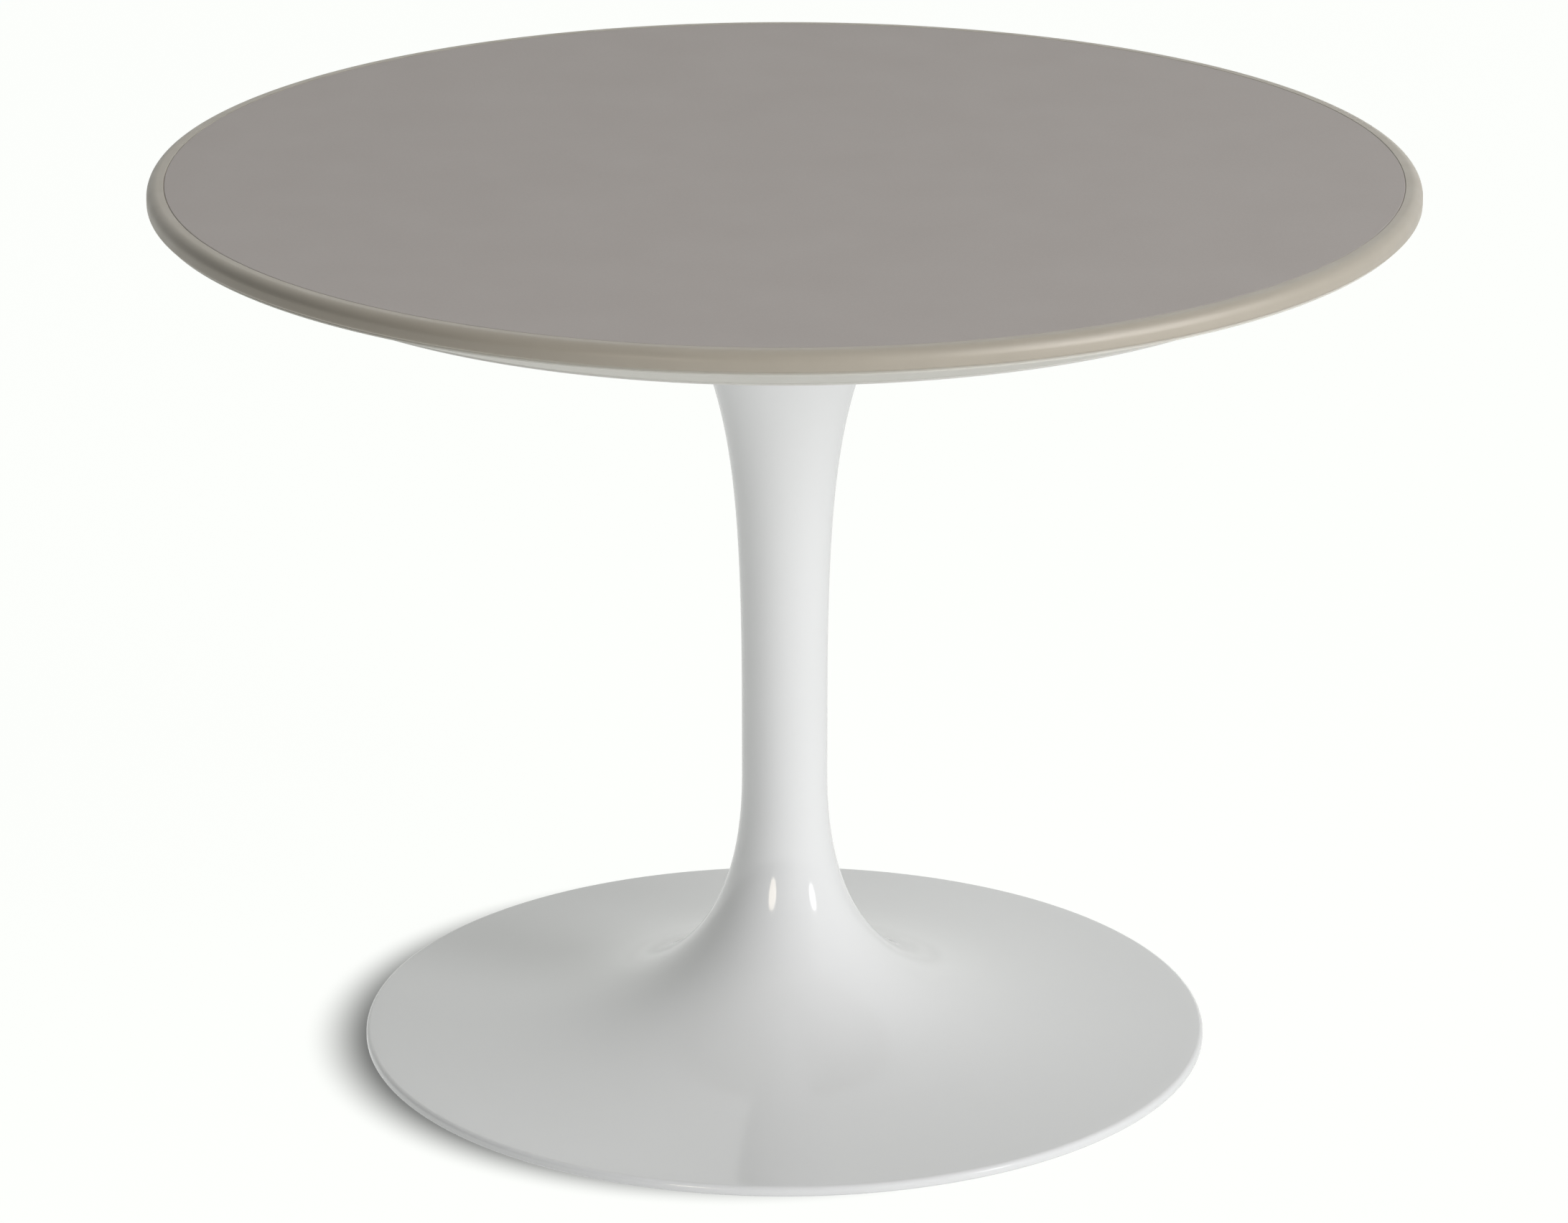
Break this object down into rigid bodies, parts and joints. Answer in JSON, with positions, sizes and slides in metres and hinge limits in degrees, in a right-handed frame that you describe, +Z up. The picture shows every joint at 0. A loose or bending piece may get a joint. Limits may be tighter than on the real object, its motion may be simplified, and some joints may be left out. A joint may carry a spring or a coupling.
{
  "type": "round pedestal table",
  "caption": "Low round table: laminate top with a moulded rounded rim and bevelled underside, on a gloss trumpet pedestal that spreads into a flat round base.",
  "frame": {"origin": "on the floor, at the centre of the round base", "axes": "+Z up along the axis of the stem; the table is round, so +X and +Y are any two level directions"},
  "size_m": [0.6, 0.6, 0.437],
  "materials": {
    "face_laminate": "matt taupe high-pressure laminate with an ultra-fine texture",
    "rim_plastic": "satin moulded edging, a warmer shade of the same taupe",
    "board_lacquer": "fibreboard with a pale grey satin lacquer on its bevel",
    "backing_laminate": "plain matt balancing laminate",
    "white_powder": "off-white powder coat",
    "zinc_steel": "bright zinc-plated steel",
    "black_rubber": "matt black rubber",
    "white_lacquer": "gloss white lacquer with a clear coat, on a casting",
    "nylon": "grey translucent nylon",
    "cast_iron": "rough sand casting, primed dark grey",
    "black_plastic": "black fine-grained sheet"
  },
  "bodies": {
    "root": {"top_laminate": "face_laminate", "edge_band": "rim_plastic", "top_core": "board_lacquer", "backing_sheet": "backing_laminate", "mounting_plate": "white_powder", "rod_boss": "zinc_steel", "plate_screw_1": "zinc_steel", "plate_screw_2": "zinc_steel", "plate_screw_3": "zinc_steel", "plate_screw_4": "zinc_steel", "plate_screw_5": "zinc_steel", "plate_screw_6": "zinc_steel", "stem_gasket": "black_rubber", "pedestal": "white_lacquer", "glide_ring": "nylon", "ballast_ring": "cast_iron", "clamp_plate": "zinc_steel", "clamp_washer": "zinc_steel", "spring_washer": "zinc_steel", "clamp_nut": "zinc_steel", "tie_rod": "zinc_steel", "base_cover": "black_plastic", "cover_screw_1": "zinc_steel", "cover_screw_2": "zinc_steel", "cover_screw_3": "zinc_steel", "cover_screw_4": "zinc_steel"}
  },
  "joints": []
}
